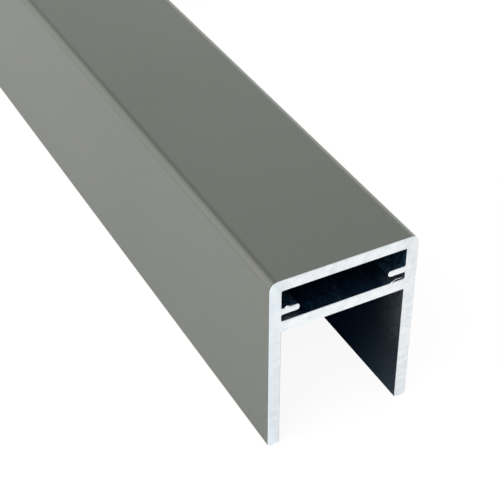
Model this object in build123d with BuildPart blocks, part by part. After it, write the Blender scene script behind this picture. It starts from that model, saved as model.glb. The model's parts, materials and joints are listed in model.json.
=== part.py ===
"""Aluminium channel profile: an extruded bar of one constant section, sawn square at both ends.

The section stands on two legs. A flat top and a web below it close a cell between the legs,
and under the web the legs make a channel, open downwards, that takes the edge of a panel.
A short fin on each inner wall of the cell runs just above the web. The slots between the fins
and the web keep a thin joining strip flat, and the room above them takes the plug of an end cap.

Frame: +Z up, the bar along Y, the origin under its middle, on the plane that the legs stand on.
"""

import os

from build123d import *

# Bar
width = 25.0
height = 32.0
length = 1000.0
corner_radius = 1.5

# Walls
side_wall = 2.0
top_wall = 2.0
web_wall = 2.0

# Closed cell and the inner corners that the die leaves
cell_height = 5.6
root_radius = 0.2

# Fins inside the cell, and the slot between a fin and the web
fin_length = 3.0
fin_thickness = 1.1
strip_slot = 1.25

# Feet of the legs
foot_radius = 0.3

# Levels above the feet, and the clear width between the walls
inner_width = width - 2 * side_wall
cell_floor = height - top_wall - cell_height
channel_depth = cell_floor - web_wall
fin_level = cell_floor + strip_slot + fin_thickness / 2

# A fin is a flat that starts inside the wall, and a round nose of the fin's own thickness
fin_nose_radius = fin_thickness / 2
fin_nose_offset = inner_width / 2 - fin_length + fin_nose_radius
fin_flat_length = width / 2 - side_wall / 2 - fin_nose_offset
fin_flat_offset = fin_nose_offset + fin_flat_length / 2

with BuildPart() as channel_profile:
    with BuildSketch(Plane.XZ) as section:
        Rectangle(width, height, align=(Align.CENTER, Align.MIN))

        # Channel between the legs, open downwards
        Rectangle(inner_width, channel_depth, align=(Align.CENTER, Align.MIN), mode=Mode.SUBTRACT)
        fillet(section.vertices(Select.LAST).group_by(Axis.Y)[-1], root_radius)

        # Cell between the web and the top
        with Locations((0, cell_floor)):
            Rectangle(inner_width, cell_height, align=(Align.CENTER, Align.MIN), mode=Mode.SUBTRACT)
        fillet(section.vertices(Select.LAST), root_radius)

        # Fins, one on each wall of the cell
        with Locations((-fin_flat_offset, fin_level), (fin_flat_offset, fin_level)):
            Rectangle(fin_flat_length, fin_thickness)
        fin_corners = section.vertices(Select.LAST).group_by(Axis.X)
        fillet(fin_corners[0] + fin_corners[-1], root_radius)
        with Locations((-fin_nose_offset, fin_level), (fin_nose_offset, fin_level)):
            Circle(fin_nose_radius)

        # Rounded top corners, and the broken edges of the feet
        fillet(section.vertices().group_by(Axis.Y)[-1], corner_radius)
        fillet(section.vertices().group_by(Axis.Y)[0], foot_radius)
    extrude(amount=length / 2, both=True)

channel_profile.part.label = "channel_profile"

os.makedirs("parts", exist_ok=True)
export_step(channel_profile.part, "parts/channel_profile.step")
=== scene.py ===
"""Looks of an aluminium channel profile: an extruded bar with a satin metallic coat and bare sawn ends."""

import json
import math

import bpy
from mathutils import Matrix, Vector


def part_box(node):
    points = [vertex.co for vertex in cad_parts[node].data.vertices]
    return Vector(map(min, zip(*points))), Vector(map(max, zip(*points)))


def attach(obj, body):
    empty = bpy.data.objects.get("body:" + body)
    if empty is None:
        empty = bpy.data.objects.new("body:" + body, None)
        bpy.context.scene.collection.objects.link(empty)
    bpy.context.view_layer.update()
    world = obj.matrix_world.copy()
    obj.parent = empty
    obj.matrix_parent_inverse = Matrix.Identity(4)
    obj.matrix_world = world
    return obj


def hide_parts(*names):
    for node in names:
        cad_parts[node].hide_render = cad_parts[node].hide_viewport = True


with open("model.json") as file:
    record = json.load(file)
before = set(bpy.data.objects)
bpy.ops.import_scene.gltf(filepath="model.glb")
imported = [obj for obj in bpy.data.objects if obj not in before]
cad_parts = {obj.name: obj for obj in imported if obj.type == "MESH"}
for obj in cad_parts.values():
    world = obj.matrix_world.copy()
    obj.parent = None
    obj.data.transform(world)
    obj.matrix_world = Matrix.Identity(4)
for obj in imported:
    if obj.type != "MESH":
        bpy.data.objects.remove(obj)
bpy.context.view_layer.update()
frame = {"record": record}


# Bar
# The whole object is one length of extruded aluminium alloy. The press pushes it through a die as an
# endless bar of one section, the bar is coated grey, and a circular saw then cuts it to length.

mount_place = {mount["name"]: Vector(mount["pos_m"]) for mount in frame["record"]["mounts"]}
bar_low, bar_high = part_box("channel_profile")
bar_width = bar_high.x - bar_low.x
bar_height = bar_high.z - bar_low.z
bar_length = bar_high.y - bar_low.y
half_length = bar_length / 2

# The frame gives the seat of the channel and the middles of the feet and of the web
side_wall = 2 * (bar_high.x - mount_place["right_foot"].x)
channel_depth = mount_place["channel_seat"].z
web_wall = 2 * (mount_place["front_end"].z - channel_depth)
top_wall = 0.002

fin_length = 0.003
fin_thickness = 0.0011
strip_slot = 0.00125

corner_radius = 0.0015
root_radius = 0.0002
foot_radius = 0.0003
sawn_edge = 0.00008

# A nose a little tighter than half the fin leaves a short flat at its tip, so that its two rounds
# don't meet in one point
fin_nose_share = 0.97
fin_nose_radius = fin_nose_share * fin_thickness / 2

outer_x = bar_width / 2
inner_x = outer_x - side_wall
fin_tip_x = inner_x - fin_length
cell_floor = channel_depth + web_wall
cell_top = bar_height - top_wall
fin_low = cell_floor + strip_slot
fin_high = fin_low + fin_thickness

# Right half of each loop as corner points and radii, in the order that keeps the metal on the left hand
outline_half = [
    (inner_x, channel_depth, root_radius),
    (inner_x, 0, foot_radius),
    (outer_x, 0, foot_radius),
    (outer_x, bar_height, corner_radius),
]
cell_half = [
    (inner_x, cell_top, root_radius),
    (inner_x, fin_high, root_radius),
    (fin_tip_x, fin_high, fin_nose_radius),
    (fin_tip_x, fin_low, fin_nose_radius),
    (inner_x, fin_low, root_radius),
    (inner_x, cell_floor, root_radius),
]

# Two slivers that the blade left hanging in the cell at the near end, as points across the section with
# half the thickness at each: a curl on the left fin, and a hair that stands off the web under the right fin
fin_curl = [
    (-inner_x + 0.00065, fin_high - 0.00008, 0.00004),
    (-inner_x + 0.00080, fin_high + 0.00006, 0.00009),
    (-inner_x + 0.00100, fin_high + 0.00016, 0.00011),
    (-inner_x + 0.00120, fin_high + 0.00006, 0.00009),
    (-inner_x + 0.00140, fin_high - 0.00008, 0.00004),
]
web_hair = [
    (inner_x - 0.00250, cell_floor - 0.00005, 0.00002),
    (inner_x - 0.00215, cell_floor + 0.00022, 0.00003),
    (inner_x - 0.00150, cell_floor + 0.00045, 0.00006),
    (inner_x - 0.00085, cell_floor + 0.00038, 0.00003),
    (inner_x - 0.00045, cell_floor + 0.00040, 0.00002),
]

# How far the slivers stay behind the cut, and how far past a corner's round its flat starts
sliver_depth = 0.00002
flat_margin = 0.00002


def flat_ends(first, second):
    """Points near both ends of the flat between two corners. They keep the corners' soft shading off it."""
    start = Vector(first[:2])
    run = Vector(second[:2]) - start
    near = first[2] + flat_margin
    far = run.length - second[2] - flat_margin
    if far - near < flat_margin:
        return []
    return [(*(start + run.normalized() * reach), 0) for reach in (near, far)]


def add_section_loop(curve, half):
    """Closed loop of the section: a half and its mirror image. A point's radius is its corner's radius."""
    mirrored = [(-x, y, radius) for x, y, radius in reversed(half)]
    corners = half + mirrored
    points = []
    for corner, following in zip(corners, corners[1:] + corners[:1]):
        points.append(corner)
        points.extend(flat_ends(corner, following))
    spline = curve.splines.new("POLY")
    spline.points.add(len(points) - 1)
    for point, (x, y, radius) in zip(spline.points, points):
        point.co = (x, y, 0, 1)
        point.radius = radius
    spline.use_cyclic_u = True


def add_sliver(curve, route):
    """Open smooth line of a sliver just inside the cut. A point's radius is half the thickness there."""
    spline = curve.splines.new("NURBS")
    spline.points.add(len(route) - 1)
    for point, (x, y, radius) in zip(spline.points, route):
        point.co = (x, y, -radius - sliver_depth, 1)
        point.radius = radius
    spline.order_u = 3
    spline.use_endpoint_u = True
    spline.resolution_u = 4


section = bpy.data.curves.new("bar_section", "CURVE")
section.dimensions = "3D"
add_section_loop(section, outline_half)
add_section_loop(section, cell_half)
add_sliver(section, fin_curl)
add_sliver(section, web_hair)


def add_node(tree, kind, **settings):
    """New node of a tree. Settings are the node's own properties."""
    node = tree.nodes.new(kind)
    for name, value in settings.items():
        setattr(node, name, value)
    return node


def put(tree, value, socket):
    """Feeds a socket from another node's output, or sets it to a value."""
    if isinstance(value, bpy.types.NodeSocket):
        tree.links.new(value, socket)
    else:
        socket.default_value = value


def feed(tree, node, **inputs):
    """Fills a node's inputs by their names, with _ for spaces."""
    for name, value in inputs.items():
        put(tree, value, node.inputs[name.replace("_", " ")])


def fill_in_order(tree, node, values):
    """Fills a node's inputs in their order."""
    for socket, value in zip(node.inputs, values):
        put(tree, value, socket)


def math_node(tree, operation, *values):
    """Output of a Math node."""
    node = add_node(tree, "ShaderNodeMath", operation=operation)
    fill_in_order(tree, node, values)
    return node.outputs["Value"]


def vector_math(tree, operation, *values):
    """Output of a Vector Math node that gives a vector."""
    node = add_node(tree, "ShaderNodeVectorMath", operation=operation)
    fill_in_order(tree, node, values)
    return node.outputs["Vector"]


def scaled(tree, vector, scale):
    """A vector or a colour times a number."""
    node = add_node(tree, "ShaderNodeVectorMath", operation="SCALE")
    feed(tree, node, Vector=vector, Scale=scale)
    return node.outputs["Vector"]


def axes_of(tree, vector):
    """The X, Y and Z of a vector, as outputs by those names."""
    node = add_node(tree, "ShaderNodeSeparateXYZ")
    feed(tree, node, Vector=vector)
    return node.outputs


def vector_of(tree, **axes):
    """Vector with the given X, Y or Z, and 0 for the others."""
    node = add_node(tree, "ShaderNodeCombineXYZ")
    feed(tree, node, **axes)
    return node.outputs["Vector"]


def new_group(tree_kind, name, inputs, output, output_kind):
    """New node group with named inputs and one output. Gives its tree, inputs and output socket."""
    tree = bpy.data.node_groups.new(name, tree_kind)
    for input_name, input_kind in inputs.items():
        tree.interface.new_socket(input_name, in_out="INPUT", socket_type="NodeSocket" + input_kind)
    tree.interface.new_socket(output, in_out="OUTPUT", socket_type="NodeSocket" + output_kind)
    given_inputs = add_node(tree, "NodeGroupInput").outputs
    return tree, given_inputs, add_node(tree, "NodeGroupOutput").inputs[output]


# Tree that turns the section into the bar: it rounds the corners, fills the ends and draws the walls out
# between them, with a fine broken edge all round each sawn end
bar_tree, given, bar_out = new_group("GeometryNodeTree", "extruded bar", {
    "Section": "Geometry",
    "Length": "Float",
    "Sawn Edge": "Float",
    "Corner Steps": "Int",
    "Sliver Sides": "Int",
    "Weld Distance": "Float",
    "Crease Angle": "Float",
    "Inside Width": "Float",
    "Inside Height": "Float",
    "Inside Margin": "Float",
    "Coat": "Material",
    "Inside Coat": "Material",
    "Sawn Metal": "Material",
}, "Bar", "Geometry")

# Closed lines are the loops of the section, and open ones are slivers
lines = add_node(bar_tree, "GeometryNodeSeparateGeometry", domain="CURVE")
is_loop = add_node(bar_tree, "GeometryNodeInputSplineCyclic").outputs["Cyclic"]
feed(bar_tree, lines, Geometry=given["Section"], Selection=is_loop)
point_radius = add_node(bar_tree, "GeometryNodeInputRadius").outputs["Radius"]

rounded = add_node(bar_tree, "GeometryNodeFilletCurve", mode="POLY")
feed(bar_tree, rounded, Curve=lines.outputs["Selection"], Count=given["Corner Steps"])
feed(bar_tree, rounded, Radius=point_radius, Limit_Radius=True)

# A round of radius 1, which each point of a sliver scales to its own thickness
sliver_round = add_node(bar_tree, "GeometryNodeCurvePrimitiveCircle")
feed(bar_tree, sliver_round, Resolution=given["Sliver Sides"], Radius=1.0)
slivers = add_node(bar_tree, "GeometryNodeCurveToMesh")
feed(bar_tree, slivers, Curve=lines.outputs["Inverted"], Profile_Curve=sliver_round.outputs["Curve"])
feed(bar_tree, slivers, Scale=point_radius, Fill_Caps=True)

# The way into the metal at each point of the outline, as long as the broken edge is wide
tangent = add_node(bar_tree, "GeometryNodeInputTangent").outputs["Tangent"]
across = vector_math(bar_tree, "CROSS_PRODUCT", (0, 0, 1), tangent)
inward = scaled(bar_tree, across, given["Sawn Edge"])
marked = add_node(bar_tree, "GeometryNodeStoreNamedAttribute", data_type="FLOAT_VECTOR", domain="POINT")
feed(bar_tree, marked, Geometry=rounded.outputs["Curve"], Name="inward", Value=inward)
kept_inward = add_node(bar_tree, "GeometryNodeInputNamedAttribute", data_type="FLOAT_VECTOR")
feed(bar_tree, kept_inward, Name="inward")
into_metal = kept_inward.outputs["Attribute"]
out_of_metal = scaled(bar_tree, into_metal, -1.0)

end_loop = add_node(bar_tree, "GeometryNodeSetPosition")
feed(bar_tree, end_loop, Geometry=marked.outputs["Geometry"], Offset=into_metal)
end_face = add_node(bar_tree, "GeometryNodeFillCurve", mode="TRIANGLES")
feed(bar_tree, end_face, Curve=end_loop.outputs["Geometry"])
loop_edges = add_node(bar_tree, "GeometryNodeCurveToMesh")
feed(bar_tree, loop_edges, Curve=end_loop.outputs["Geometry"])


def downward(depth):
    """Vector that goes down by a depth."""
    return vector_of(bar_tree, Z=math_node(bar_tree, "MULTIPLY", depth, -1.0))


def draw_out(mesh, selection, depth, move=None):
    """Draws a loop of edges down and moves the new loop. Gives the mesh, the new loop and its faces."""
    drawn = add_node(bar_tree, "GeometryNodeExtrudeMesh", mode="EDGES")
    feed(bar_tree, drawn, Mesh=mesh, Offset=downward(depth))
    if selection is not None:
        feed(bar_tree, drawn, Selection=selection)
    result = drawn.outputs["Mesh"]
    if move is not None:
        moved = add_node(bar_tree, "GeometryNodeSetPosition")
        feed(bar_tree, moved, Geometry=result, Selection=drawn.outputs["Top"], Offset=move)
        result = moved.outputs["Geometry"]
    return result, drawn.outputs["Top"], drawn.outputs["Side"]


# The walls: the broken edge of the near end, the coated length and the broken edge of the far end
both_edges = math_node(bar_tree, "MULTIPLY", given["Sawn Edge"], 2.0)
coated_length = math_node(bar_tree, "SUBTRACT", given["Length"], both_edges)
walls, loop, _ = draw_out(loop_edges.outputs["Mesh"], None, given["Sawn Edge"], out_of_metal)
walls, loop, coated_walls = draw_out(walls, loop, coated_length)
walls, _, _ = draw_out(walls, loop, given["Sawn Edge"], into_metal)
coated = add_node(bar_tree, "GeometryNodeStoreNamedAttribute", data_type="BOOLEAN", domain="FACE")
feed(bar_tree, coated, Geometry=walls, Name="coated", Value=coated_walls)

far_face = add_node(bar_tree, "GeometryNodeTransform")
feed(bar_tree, far_face, Geometry=end_face.outputs["Mesh"], Translation=downward(given["Length"]))
turned_face = add_node(bar_tree, "GeometryNodeFlipFaces")
feed(bar_tree, turned_face, Mesh=far_face.outputs["Geometry"])

shell = add_node(bar_tree, "GeometryNodeJoinGeometry")
for shell_piece in (end_face.outputs["Mesh"], coated.outputs["Geometry"], turned_face.outputs["Mesh"],
                    slivers.outputs["Mesh"]):
    bar_tree.links.new(shell_piece, shell.inputs["Geometry"])
closed = add_node(bar_tree, "GeometryNodeMergeByDistance")
feed(bar_tree, closed, Geometry=shell.outputs["Geometry"], Distance=given["Weld Distance"])

# The section was drawn flat. Standing it up lays the bar along Y, half of it on each side of the origin.
to_near_end = vector_of(bar_tree, Y=math_node(bar_tree, "MULTIPLY", given["Length"], -0.5))
laid = add_node(bar_tree, "GeometryNodeTransform")
feed(bar_tree, laid, Geometry=closed.outputs["Geometry"], Translation=to_near_end)
feed(bar_tree, laid, Rotation=(math.pi / 2, 0, 0))


def less_than(value, limit):
    """True where a value is below a limit."""
    test = add_node(bar_tree, "FunctionNodeCompare", data_type="FLOAT", operation="LESS_THAN")
    feed(bar_tree, test, A=value, B=limit)
    return test.outputs["Result"]


def both_true(first, second):
    """True where both are."""
    test = add_node(bar_tree, "FunctionNodeBooleanMath", operation="AND")
    fill_in_order(bar_tree, test, [first, second])
    return test.outputs["Boolean"]


# Smooth rounds, and sharp edges where two faces meet at the crease angle or more
smooth = add_node(bar_tree, "GeometryNodeSetShadeSmooth", domain="FACE")
feed(bar_tree, smooth, Geometry=laid.outputs["Geometry"], Shade_Smooth=True)
bend = add_node(bar_tree, "GeometryNodeInputMeshEdgeAngle").outputs["Unsigned Angle"]
creased = add_node(bar_tree, "GeometryNodeSetShadeSmooth", domain="EDGE")
feed(bar_tree, creased, Geometry=smooth.outputs["Geometry"])
feed(bar_tree, creased, Shade_Smooth=less_than(bend, given["Crease Angle"]))

# The coated walls between the legs and under the top are the inside of the bar
coated_mark = add_node(bar_tree, "GeometryNodeInputNamedAttribute", data_type="BOOLEAN")
feed(bar_tree, coated_mark, Name="coated")
is_coated = coated_mark.outputs["Attribute"]
face_place = axes_of(bar_tree, add_node(bar_tree, "GeometryNodeInputPosition").outputs["Position"])
from_middle = math_node(bar_tree, "ABSOLUTE", face_place["X"])
inside_half = math_node(bar_tree, "MULTIPLY", given["Inside Width"], 0.5)
within_legs = less_than(from_middle, math_node(bar_tree, "ADD", inside_half, given["Inside Margin"]))
inside_limit = math_node(bar_tree, "ADD", given["Inside Height"], given["Inside Margin"])
under_top = less_than(face_place["Z"], inside_limit)
is_inside = both_true(is_coated, both_true(within_legs, under_top))

real = add_node(bar_tree, "GeometryNodeRealizeInstances")
feed(bar_tree, real, Geometry=creased.outputs["Geometry"])
all_sawn = add_node(bar_tree, "GeometryNodeSetMaterial")
feed(bar_tree, all_sawn, Geometry=real.outputs["Geometry"], Material=given["Sawn Metal"])
walls_coated = add_node(bar_tree, "GeometryNodeSetMaterial")
feed(bar_tree, walls_coated, Geometry=all_sawn.outputs["Geometry"], Material=given["Coat"])
feed(bar_tree, walls_coated, Selection=is_coated)
inside_coated = add_node(bar_tree, "GeometryNodeSetMaterial")
feed(bar_tree, inside_coated, Geometry=walls_coated.outputs["Geometry"], Material=given["Inside Coat"])
feed(bar_tree, inside_coated, Selection=is_inside)
bar_tree.links.new(inside_coated.outputs["Geometry"], bar_out)


def map_range(tree, value, start, end, low=0.0, high=1.0, shape="LINEAR"):
    """Number that goes from low to high as a value goes from start to end, and stays there past them."""
    node = add_node(tree, "ShaderNodeMapRange", interpolation_type=shape)
    feed(tree, node, Value=value, From_Min=start, From_Max=end, To_Min=low, To_Max=high)
    return node.outputs["Result"]


def noise(tree, place, scale, detail, distortion=0.0):
    """Noise from 0 to 1. Its scale is how many blotches lie along one unit of place."""
    node = add_node(tree, "ShaderNodeTexNoise")
    feed(tree, node, Vector=place, Scale=scale, Detail=detail, Distortion=distortion)
    return node.outputs["Fac"]


# Lines that the die draws along the bar, as heights from 0 to 1
die_lines, given_line, lines_out = new_group("ShaderNodeTree", "die lines", {
    "Place": "Vector",
    "Spacing": "Float",
    "Run": "Float",
}, "Lines", "Float")
line_place = axes_of(die_lines, given_line["Place"])
line_steps = {}
for axis, step in (("X", "Spacing"), ("Y", "Run"), ("Z", "Spacing")):
    line_steps[axis] = math_node(die_lines, "DIVIDE", line_place[axis], given_line[step])
line_grid = vector_of(die_lines, **line_steps)
die_lines.links.new(noise(die_lines, line_grid, scale=1.0, detail=2.0), lines_out)

# Nearness to a sawn end, from 1 at the cut to 0 a given reach away from it
near_cut, given_cut, nearness_out = new_group("ShaderNodeTree", "near a cut", {
    "Place": "Vector",
    "Half Length": "Float",
    "Reach": "Float",
}, "Nearness", "Float")
from_centre = math_node(near_cut, "ABSOLUTE", axes_of(near_cut, given_cut["Place"])["Y"])
from_cut = math_node(near_cut, "SUBTRACT", given_cut["Half Length"], from_centre)
nearness = map_range(near_cut, from_cut, given_cut["Reach"], 0.0, shape="SMOOTHSTEP")
near_cut.links.new(nearness, nearness_out)


def lines_at(tree, place, spacing, run):
    """The die's lines in a finish, so far apart and so long."""
    node = add_node(tree, "ShaderNodeGroup", node_tree=die_lines)
    feed(tree, node, Place=place, Spacing=spacing, Run=run)
    return node.outputs["Lines"]


def nearness_at(tree, place, reach):
    """Nearness to a sawn end in a finish."""
    node = add_node(tree, "ShaderNodeGroup", node_tree=near_cut)
    feed(tree, node, Place=place, Half_Length=half_length, Reach=reach)
    return node.outputs["Nearness"]


# A noise seldom leaves this middle of its range
noise_low = 0.3
noise_high = 0.7


def ramp(tree, value, low, high):
    """Colour that goes from low to high over the middle of a noise's range."""
    node = add_node(tree, "ShaderNodeValToRGB")
    ends = ((noise_low, low), (noise_high, high))
    for element, (position, colour) in zip(node.color_ramp.elements, ends):
        element.position = position
        element.color = (*colour, 1)
    tree.links.new(value, node.inputs["Fac"])
    return node.outputs["Color"]


def between(tree, value, low, high):
    """Number that goes from low to high over the middle of a noise's range."""
    return map_range(tree, value, noise_low, noise_high, low, high)


def product(tree, first, *others):
    """Product of numbers."""
    for other in others:
        first = math_node(tree, "MULTIPLY", first, other)
    return first


def tinted(tree, mask, colour, tint):
    """A colour with another one laid over it where a mask says."""
    node = add_node(tree, "ShaderNodeMix", data_type="RGBA")
    # The node has sockets for numbers and vectors too, so its colours are found by their places
    under = node.inputs[6]
    over = node.inputs[7]
    tree.links.new(mask, node.inputs["Factor"])
    tree.links.new(colour, under)
    over.default_value = (*tint, 1)
    return node.outputs[2]


def bumped(tree, height, strength, distance, normal=None):
    """Normal of a surface with a fine relief on it."""
    node = add_node(tree, "ShaderNodeBump")
    feed(tree, node, Height=height, Strength=strength, Distance=distance)
    if normal is not None:
        tree.links.new(normal, node.inputs["Normal"])
    return node.outputs["Normal"]


def new_finish(name, metallic):
    """New material. Gives it with its tree, its shader and the place on the bar."""
    finish = bpy.data.materials.new(name)
    finish.use_nodes = True
    tree = finish.node_tree
    shader = tree.nodes["Principled BSDF"]
    shader.inputs["Metallic"].default_value = metallic
    return finish, tree, shader, add_node(tree, "ShaderNodeTexCoord").outputs["Object"]


# Satin metallic coat: a fine even flake in a skin that levelled out as it was baked, a slow drift in tone
# and hue, and under it the last trace of the die's lines. It is a touch darker towards the feet, and the
# saw left its rim dull.
coat_grey = (0.198, 0.210, 0.184)
pale_coat_grey = (0.209, 0.221, 0.195)
warm_coat_grey = (0.209, 0.213, 0.193)
dull_rim_grey = (0.05, 0.055, 0.055)
coat_gloss_tint = (0.93, 0.93, 0.93)
foot_tone = 0.96
top_tone = 1.04
rim_width = 0.0003
rim_strength = 0.6
coat_relief = 0.000004
coat_relief_strength = 0.2

coat, coat_tree, coat_shader, coat_place = new_finish("satin_grey_coat", metallic=0.9)
coat_shader.inputs["Specular Tint"].default_value = (*coat_gloss_tint, 1)
drift = noise(coat_tree, coat_place, scale=28.0, detail=2.0)
coat_colour = ramp(coat_tree, drift, coat_grey, pale_coat_grey)
hue_drift = noise(coat_tree, coat_place, scale=110.0, detail=1.0)
coat_colour = tinted(coat_tree, between(coat_tree, hue_drift, 0.0, 0.5), coat_colour, warm_coat_grey)
coat_height = axes_of(coat_tree, coat_place)["Z"]
coat_tone = map_range(coat_tree, coat_height, 0.0, bar_height, foot_tone, top_tone)
coat_colour = scaled(coat_tree, coat_colour, coat_tone)
rim = product(coat_tree, nearness_at(coat_tree, coat_place, rim_width), rim_strength)
coat_colour = tinted(coat_tree, rim, coat_colour, dull_rim_grey)
coat_tree.links.new(coat_colour, coat_shader.inputs["Base Color"])

flake = noise(coat_tree, coat_place, scale=5200.0, detail=1.0)
coat_roughness = between(coat_tree, flake, 0.27, 0.33)
coat_tree.links.new(coat_roughness, coat_shader.inputs["Roughness"])

coat_lines = lines_at(coat_tree, coat_place, spacing=0.0006, run=0.2)
skin = noise(coat_tree, coat_place, scale=900.0, detail=1.0)
coat_normal = bumped(coat_tree, coat_lines, coat_relief_strength, coat_relief)
coat_normal = bumped(coat_tree, skin, coat_relief_strength, coat_relief, coat_normal)
coat_tree.links.new(coat_normal, coat_shader.inputs["Normal"])


# Inside of the channel and of the cell: the die's streaks under a dark bluish colour that is painted
# shade, with fine flecks in it. The cell's walls have blotchy bluish patches of painted light, and a faint
# scratch runs into the cell. Near the ends it is lighter and greyer, painted light from the open ends, and
# painted bounce light from the floor lies on the legs towards the feet.
# Painted shade: the dark and the pale bluish black of the inside
painted_shade_dark = (0.004, 0.016, 0.042)
painted_shade_pale = (0.016, 0.040, 0.082)
# Painted light, bluish, on the cell's walls
painted_wall_light_blue = (0.120, 0.250, 0.380)
fleck_blue = (0.024, 0.100, 0.190)
scratch_grey = (0.170, 0.210, 0.310)
# Painted bounce light from the floor, on the legs
painted_bounce_grey = (0.046, 0.064, 0.080)
# Painted light from the open ends, faint and strong
faint_end_light_grey = (0.026, 0.028, 0.030)
strong_end_light_grey = (0.262, 0.305, 0.342)
# Bluish tint of the inside's gloss, part of the painted shade
shade_gloss_tint = (0.25, 0.4, 0.6)

# How far a wall's look goes on past its face, and how far each mark reaches in from the ends
wall_margin = 0.001
scratch_reach = 0.011
bounce_light_reach = 0.02
end_light_reach = 0.0085
slot_light_reach = 0.0035

inside, inside_tree, inside_shader, inside_place = new_finish("painted_shade_inside", metallic=0.75)
inside_shader.inputs["Specular Tint"].default_value = (*shade_gloss_tint, 1)
inside_shader.inputs["Specular IOR Level"].default_value = 0.1
inside_shader.inputs["Roughness"].default_value = 0.42
# Painted shade: the die's streaks between a dark and a pale bluish black
inside_lines = lines_at(inside_tree, inside_place, spacing=0.0024, run=0.07)
inside_colour = ramp(inside_tree, inside_lines, painted_shade_dark, painted_shade_pale)

# Where on the inside a point lies
inside_axes = axes_of(inside_tree, inside_place)
inside_x = inside_axes["X"]
inside_height = inside_axes["Z"]
in_channel = math_node(inside_tree, "LESS_THAN", inside_height, channel_depth + web_wall / 2)
in_cell = math_node(inside_tree, "SUBTRACT", 1.0, in_channel)
off_centre = math_node(inside_tree, "ABSOLUTE", inside_x)
by_wall = map_range(inside_tree, off_centre, fin_tip_x - wall_margin, inner_x - wall_margin,
                    shape="SMOOTHSTEP")
by_cell_wall = product(inside_tree, by_wall, in_cell)

# Painted light on the cell's walls, in blotchy bluish patches
grain = noise(inside_tree, inside_place, scale=2600.0, detail=3.0)
blotches = noise(inside_tree, inside_place, scale=750.0, detail=2.0, distortion=1.5)
wall_light_blotches = map_range(inside_tree, blotches, 0.4, 0.64)
painted_wall_light = product(inside_tree, by_cell_wall, wall_light_blotches, between(inside_tree, grain, 0.3, 1.0))
inside_colour = tinted(inside_tree, painted_wall_light, inside_colour, painted_wall_light_blue)

# Flecks, fainter in the channel and towards the right. Their lean to the left is painted light there.
flecks = lines_at(inside_tree, inside_place, spacing=0.00034, run=0.0007)
fleck_cover = map_range(inside_tree, flecks, 0.48, 0.72, high=0.85)
fleck_share = math_node(inside_tree, "MULTIPLY_ADD", in_cell, 0.75, 0.25)
fleck_left_light = map_range(inside_tree, inside_x, -inner_x, inner_x, low=1.3, high=0.5)
fleck_share = product(inside_tree, fleck_share, fleck_cover, fleck_left_light)
inside_colour = tinted(inside_tree, fleck_share, inside_colour, fleck_blue)

# Scratch, which starts at the cut near the cell's middle and leans to the right as it runs in
scratch_start = -0.0007
scratch_lean = 0.3
scratch_width = 0.00014
along_bar = math_node(inside_tree, "ABSOLUTE", inside_axes["Y"])
leaning = math_node(inside_tree, "MULTIPLY_ADD", along_bar, scratch_lean, inside_x)
off_line = math_node(inside_tree, "SUBTRACT", leaning, scratch_start + scratch_lean * half_length)
stroke = map_range(inside_tree, math_node(inside_tree, "ABSOLUTE", off_line), scratch_width, 0.0)
scratch_run = nearness_at(inside_tree, inside_place, scratch_reach)
scratch_breaks = between(inside_tree, blotches, -1.0, 1.8)
scratch = product(inside_tree, scratch_run, in_cell, stroke, scratch_breaks)
inside_colour = tinted(inside_tree, scratch, inside_colour, scratch_grey)

# Painted bounce light from the floor on the legs, strongest at the feet
bounce_light_full_height = 0.002
painted_bounce_light = map_range(inside_tree, inside_height, bounce_light_full_height, channel_depth, low=1.3, high=0.1)
painted_bounce_light = product(inside_tree, painted_bounce_light, in_channel, nearness_at(inside_tree, inside_place, bounce_light_reach))
inside_colour = tinted(inside_tree, painted_bounce_light, inside_colour, painted_bounce_grey)

# Painted light from the open ends: faint and greyer all over the channel, strong high up on the legs,
# under the web and in the slots
end_light_start_height = 0.0075
end_light_full_height = 0.0205
end_light = product(inside_tree, nearness_at(inside_tree, inside_place, end_light_reach), in_channel)
inside_colour = tinted(inside_tree, product(inside_tree, end_light, 0.9), inside_colour, faint_end_light_grey)
end_light_rise = map_range(inside_tree, inside_height, end_light_start_height, end_light_full_height, low=0.25,
                      shape="SMOOTHSTEP")
in_slot = product(inside_tree, by_cell_wall, map_range(inside_tree, inside_height, fin_high, fin_low))
slot_light = product(inside_tree, nearness_at(inside_tree, inside_place, slot_light_reach), in_slot)
strong_end_light = math_node(inside_tree, "MULTIPLY_ADD", end_light, end_light_rise, slot_light)
strong_end_light = product(inside_tree, strong_end_light, between(inside_tree, grain, 0.3, 1.05))
inside_colour = tinted(inside_tree, strong_end_light, inside_colour, strong_end_light_grey)
inside_tree.links.new(inside_colour, inside_shader.inputs["Base Color"])


# Bare sawn metal: bright and mottled, with the broken arcs that the teeth of the blade leave across the
# section and a faint drift between a bluer and a greyer white. The side walls and the top are a touch
# darker, and the left wall is a touch bluer.
dull_sawn_white = (0.785, 0.84, 0.865)
bright_sawn_white = (0.95, 0.985, 0.99)
blue_sawn_white = (0.90, 0.915, 0.97)
left_wall_blue = (0.80, 0.91, 1.0)

# The blade's centre and rough radius, and how wide, long and deep the marks of its teeth are
blade_centre = (0.035, 0.0, -0.13)
blade_radius = 0.14
tooth_mark = 0.0005
tooth_run = 0.005
tooth_depth = 0.00001
tooth_strength = 0.15
cloud_share = 0.64

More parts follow.
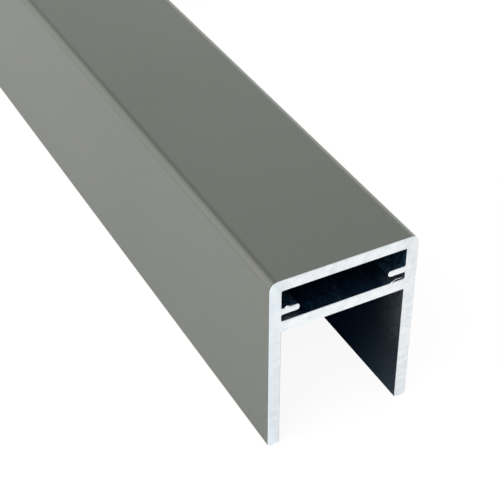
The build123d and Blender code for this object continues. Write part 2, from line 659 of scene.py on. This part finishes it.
sawn, sawn_tree, sawn_shader, sawn_place = new_finish("sawn_aluminium", metallic=1.0)
from_blade = axes_of(sawn_tree, vector_math(sawn_tree, "SUBTRACT", sawn_place, blade_centre))
blade_x = from_blade["X"]
blade_z = from_blade["Z"]
blade_reach = add_node(sawn_tree, "ShaderNodeVectorMath", operation="LENGTH")
fill_in_order(sawn_tree, blade_reach, [vector_of(sawn_tree, X=blade_x, Z=blade_z)])
marks_across = math_node(sawn_tree, "DIVIDE", blade_reach.outputs["Value"], tooth_mark)
blade_turn = math_node(sawn_tree, "ARCTAN2", blade_z, blade_x)
marks_along = math_node(sawn_tree, "MULTIPLY", blade_turn, blade_radius / tooth_run)
arcs = add_node(sawn_tree, "ShaderNodeTexNoise", noise_dimensions="2D")
feed(sawn_tree, arcs, Vector=vector_of(sawn_tree, X=marks_across, Y=marks_along))
feed(sawn_tree, arcs, Scale=1.0, Detail=3.0, Roughness=0.6, Distortion=0.4)

cloud = noise(sawn_tree, sawn_place, scale=700.0, detail=3.0, distortion=0.6)
mottle = add_node(sawn_tree, "ShaderNodeMix", data_type="FLOAT")
feed(sawn_tree, mottle, Factor=cloud_share, A=arcs.outputs["Fac"], B=cloud)
brightness = between(sawn_tree, mottle.outputs["Result"], 0.13, 0.98)
sawn_colour = ramp(sawn_tree, brightness, dull_sawn_white, bright_sawn_white)
bluer = noise(sawn_tree, sawn_place, scale=260.0, detail=1.0)
sawn_colour = tinted(sawn_tree, between(sawn_tree, bluer, 0.0, 0.5), sawn_colour, blue_sawn_white)

sawn_axes = axes_of(sawn_tree, sawn_place)
sawn_x = sawn_axes["X"]
sawn_height = sawn_axes["Z"]
off_middle = math_node(sawn_tree, "ABSOLUTE", sawn_x)
on_walls = map_range(sawn_tree, off_middle, inner_x - wall_margin, inner_x)
wall_darkening = map_range(sawn_tree, sawn_height, 0.0, channel_depth, low=-0.025, high=-0.065)
sawn_tone = map_range(sawn_tree, sawn_height, cell_floor, cell_top, low=1.0, high=0.955)
sawn_tone = math_node(sawn_tree, "MULTIPLY_ADD", on_walls, wall_darkening, sawn_tone)
sawn_colour = scaled(sawn_tree, sawn_colour, sawn_tone)
on_left_wall = map_range(sawn_tree, sawn_x, -inner_x + wall_margin, -outer_x, high=0.5)
sawn_colour = tinted(sawn_tree, on_left_wall, sawn_colour, left_wall_blue)
sawn_tree.links.new(sawn_colour, sawn_shader.inputs["Base Color"])

sawn_roughness = between(sawn_tree, cloud, 0.28, 0.36)
sawn_tree.links.new(sawn_roughness, sawn_shader.inputs["Roughness"])
sawn_normal = bumped(sawn_tree, arcs.outputs["Fac"], tooth_strength, tooth_depth)
sawn_tree.links.new(sawn_normal, sawn_shader.inputs["Normal"])


def build_bar(name, values):
    """Runs the tree on the section and keeps the result as a plain mesh object."""
    holder = bpy.data.objects.new(name + "_section", section)
    bpy.context.scene.collection.objects.link(holder)
    maker = holder.modifiers.new("extruded bar", "NODES")
    maker.node_group = bar_tree
    for item in bar_tree.interface.items_tree:
        if item.in_out == "INPUT" and item.name in values:
            maker[item.identifier] = values[item.name]
    evaluated = holder.evaluated_get(bpy.context.evaluated_depsgraph_get())
    mesh = bpy.data.meshes.new_from_object(evaluated)
    bpy.data.objects.remove(holder)
    mesh.name = name
    # An empty material slot that no face uses goes
    for index in reversed(range(len(mesh.materials))):
        if mesh.materials[index] is None:
            mesh.materials.pop(index=index)
    piece = bpy.data.objects.new(name, mesh)
    bpy.context.scene.collection.objects.link(piece)
    return piece


bar = build_bar("channel_bar", {
    "Length": bar_length,
    "Sawn Edge": sawn_edge,
    "Corner Steps": 16,
    "Sliver Sides": 6,
    "Weld Distance": 0.000002,
    "Crease Angle": math.radians(30),
    "Inside Width": 2 * inner_x,
    "Inside Height": cell_top,
    "Inside Margin": 0.0001,
    "Coat": coat,
    "Inside Coat": inside,
    "Sawn Metal": sawn,
})
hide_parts("channel_profile")
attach(bar, "root")


# Floor
# A plain white studio floor under the bar, wide enough to reach past the picture from every side. To the
# camera it glows almost white by itself, with just enough paint to keep a faint shadow of the bar.

floor_reach = 20.0
floor_gap = 0.00005
floor_level = bar_low.z - floor_gap
floor_mesh = bpy.data.meshes.new("floor")
floor_corners = [(x * floor_reach, y * floor_reach, floor_level)
                 for x, y in ((-1, -1), (1, -1), (1, 1), (-1, 1))]
floor_mesh.from_pydata(floor_corners, [], [(0, 1, 2, 3)])
floor = bpy.data.objects.new("floor", floor_mesh)
bpy.context.scene.collection.objects.link(floor)

floor_paint = bpy.data.materials.new("white_floor")
floor_paint.use_nodes = True
floor_tree = floor_paint.node_tree
floor_tree.nodes.clear()


def floor_coat(albedo, glow):
    """White paint with a light of its own. More of that light makes the bar's shadow paler."""
    diffuse = add_node(floor_tree, "ShaderNodeBsdfDiffuse")
    feed(floor_tree, diffuse, Color=(albedo, albedo, albedo, 1))
    emission = add_node(floor_tree, "ShaderNodeEmission")
    feed(floor_tree, emission, Strength=glow)
    both = add_node(floor_tree, "ShaderNodeAddShader")
    fill_in_order(floor_tree, both, [diffuse.outputs["BSDF"], emission.outputs["Emission"]])
    return both.outputs["Shader"]


def mixed(tree, share, first, second):
    """The first shader where a share is 0, and the second where it is 1."""
    node = add_node(tree, "ShaderNodeMixShader")
    fill_in_order(tree, node, [share, first, second])
    return node.outputs["Shader"]


# What the floor throws back at the bar is dim. What the metal mirrors and the camera sees is white.
ray = add_node(floor_tree, "ShaderNodeLightPath").outputs
mirrored_ray = math_node(floor_tree, "MAXIMUM", ray["Is Glossy Ray"], ray["Is Transmission Ray"])
dim_floor = floor_coat(albedo=0.25, glow=0.0)
mirrored_floor = floor_coat(albedo=0.92, glow=0.0)
seen_floor = floor_coat(albedo=0.10, glow=0.925)
lighting_floor = mixed(floor_tree, mirrored_ray, dim_floor, mirrored_floor)
whole_floor = mixed(floor_tree, ray["Is Camera Ray"], lighting_floor, seen_floor)
feed(floor_tree, add_node(floor_tree, "ShaderNodeOutputMaterial"), Surface=whole_floor)
floor_mesh.materials.append(floor_paint)


# Light
# Soft studio light: a plain room, and one large soft box high up on the left of the bar's near end. Both
# side walls of the room are bright, the left one further up and most of all at its foot. The wall past the
# far end is a little brighter too, and a patch of the ceiling there is darker.

world = bpy.data.worlds.new("studio")
bpy.context.scene.world = world
world.use_nodes = True
world_tree = world.node_tree
world_tree.nodes.clear()
heading = add_node(world_tree, "ShaderNodeTexCoord").outputs["Generated"]


def room_patch(centre, edge, full):
    """Soft patch of the room: 1 within a full angle of a direction, and 0 past an edge angle, in degrees."""
    toward = add_node(world_tree, "ShaderNodeVectorMath", operation="DOT_PRODUCT")
    fill_in_order(world_tree, toward, [heading, Vector(centre).normalized()])
    edge_level = math.cos(math.radians(edge))
    full_level = math.cos(math.radians(full))
    return map_range(world_tree, toward.outputs["Value"], edge_level, full_level, shape="SMOOTHSTEP")


def side_wall_patch(side, top, edge, full):
    """Wall of the room along the bar, on its left (-1) or its right (1), up to an elevation in degrees."""
    tilt = math.radians(top)
    return room_patch((side * math.sin(tilt), 0, -math.cos(tilt)), edge, full)


left_wall = side_wall_patch(side=-1, top=59, edge=93, full=86)
left_wall_foot = side_wall_patch(side=-1, top=14, edge=93, full=84)
right_wall = side_wall_patch(side=1, top=36, edge=92, full=87)
dark_ceiling = room_patch(centre=(-0.05, 0.72, 0.69), edge=22, full=0)
far_wall = room_patch(centre=(0.17, 0.95, 0.26), edge=40, full=0)

# The light of the plain room, and what each patch adds to it or takes away
plain_level = 0.75
patch_gains = [
    (left_wall, 0.53),
    (left_wall_foot, 0.54),
    (right_wall, 0.6),
    (dark_ceiling, -0.26),
    (far_wall, 0.25),
]
level = plain_level
for patch, gain in patch_gains:
    level = math_node(world_tree, "MULTIPLY_ADD", patch, gain, level)
room = add_node(world_tree, "ShaderNodeBackground")
feed(world_tree, room, Strength=level)
backdrop = add_node(world_tree, "ShaderNodeBackground")
feed(world_tree, backdrop, Color=(1, 1, 1, 1), Strength=1.0)
seen = add_node(world_tree, "ShaderNodeLightPath").outputs["Is Camera Ray"]
sky = mixed(world_tree, seen, room.outputs["Background"], backdrop.outputs["Background"])
feed(world_tree, add_node(world_tree, "ShaderNodeOutputWorld"), Surface=sky)

near_end = Vector((0, bar_low.y, 0))
soft_box_place = near_end + Vector((-1.45, -0.35, 1.6))
soft_box_lamp = bpy.data.lights.new("key_box", "AREA")
soft_box_lamp.size = 1.4
soft_box_lamp.energy = 25.5
soft_box = bpy.data.objects.new("key_box", soft_box_lamp)
soft_box.location = soft_box_place
soft_box.rotation_euler = (near_end - soft_box_place).to_track_quat("-Z", "Y").to_euler()
soft_box.visible_camera = False
bpy.context.scene.collection.objects.link(soft_box)


# Camera
# The near end from the left and above, close up through a long lens, so that the bar runs out of the
# picture at the top left.

camera_place = near_end + Vector((-0.08283, -0.12626, 0.14973))
camera_aim = near_end + Vector((-0.01118, 0.0083, 0.032))
camera_data = bpy.data.cameras.new("camera")
camera_data.sensor_width = 36.0
camera_data.lens = 96.52
camera_data.clip_start = 0.01
camera_data.clip_end = 100.0
camera = bpy.data.objects.new("camera", camera_data)
camera.location = camera_place
camera.rotation_euler = (camera_aim - camera_place).to_track_quat("-Z", "Y").to_euler()
bpy.context.scene.collection.objects.link(camera)
bpy.context.scene.camera = camera

bpy.context.scene.view_settings.view_transform = "Standard"
